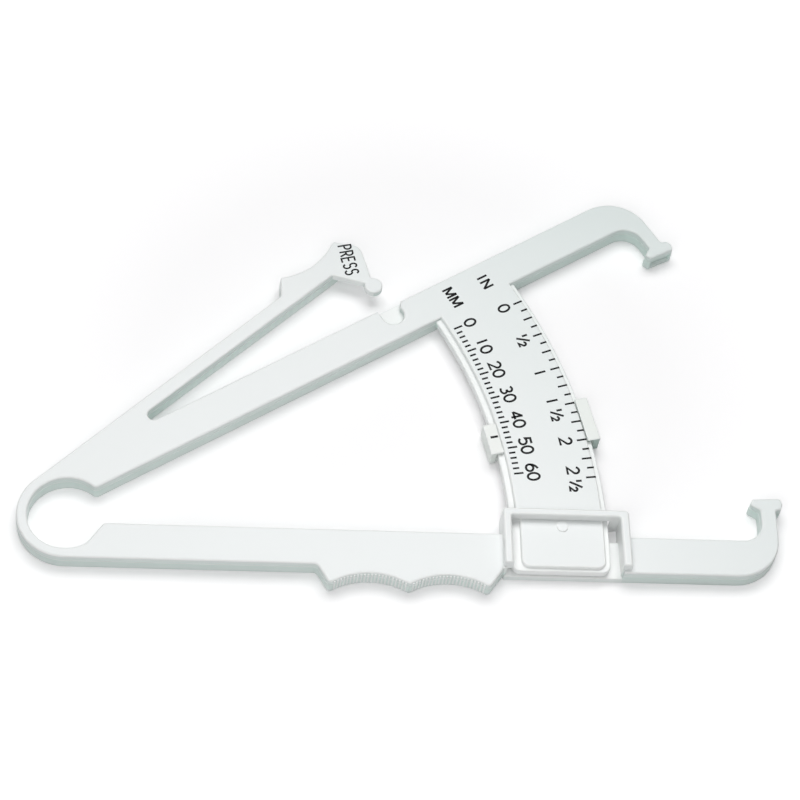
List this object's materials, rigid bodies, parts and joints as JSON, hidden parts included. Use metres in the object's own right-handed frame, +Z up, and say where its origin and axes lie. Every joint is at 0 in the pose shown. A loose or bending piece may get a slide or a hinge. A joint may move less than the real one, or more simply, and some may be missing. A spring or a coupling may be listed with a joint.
{
  "type": "skinfold caliper",
  "caption": "Moulded plastic body-fat caliper with spring ring, finger grips, hooked jaws, curved scale in a guide, click lever and reading slider.",
  "frame": {"origin": "middle of the footprint, on the table under the caliper lying on its back", "axes": "+Z up, square to the flat faces; +X along the lower arm from the spring ring to the jaw; +Y from the lower arm to the upper arm"},
  "size_m": [0.1714, 0.1046, 0.0071],
  "materials": {
    "body": "injection-moulded, smooth semi-gloss",
    "slider": "injection-moulded, smooth semi-gloss"
  },
  "bodies": {
    "lower_half": {"lower_arm": "body", "finger_grip": "body", "lower_jaw": "body", "guide_floor": "body", "guide_left_wall": "body", "guide_right_wall": "body", "guide_bar": "body", "spring_ring": "body"},
    "upper_half": {"upper_arm": "body", "upper_jaw": "body", "scale_plate": "body", "lever_flexure": "body"},
    "click_lever": {"thumb_lever": "body", "thumb_pad": "body", "click_nose": "body"},
    "slider": {"slider_bridge": "slider", "slider_mm_claw": "slider", "slider_inch_claw": "slider"}
  },
  "joints": [
    {"name": "arm_closing", "type": "hinge", "parent": "lower_half", "child": "upper_half", "pos_m": [-0.08147, -0.03705, 0.0024], "axis": [0, 0, 1], "range_deg": [-24.25, 0], "stiffness_Nm_per_rad": 0.4, "deforming": ["spring_ring"]},
    {"name": "lever_press", "type": "hinge", "parent": "upper_half", "child": "click_lever", "pos_m": [-0.05653, -0.00698, 0.0024], "axis": [0, 0, 1], "range_deg": [-8.8, 0], "stiffness_Nm_per_rad": 0.1, "deforming": ["lever_flexure"]},
    {"name": "slider_travel", "type": "hinge", "parent": "upper_half", "child": "slider", "pos_m": [-0.09147, -0.04025, 0.0024], "axis": [0, 0, 1], "range_deg": [0, 14.52]}
  ],
  "couplings": [
    {"joint": "slider_travel", "follows": "arm_closing", "ratio": -0.59794}
  ]
}
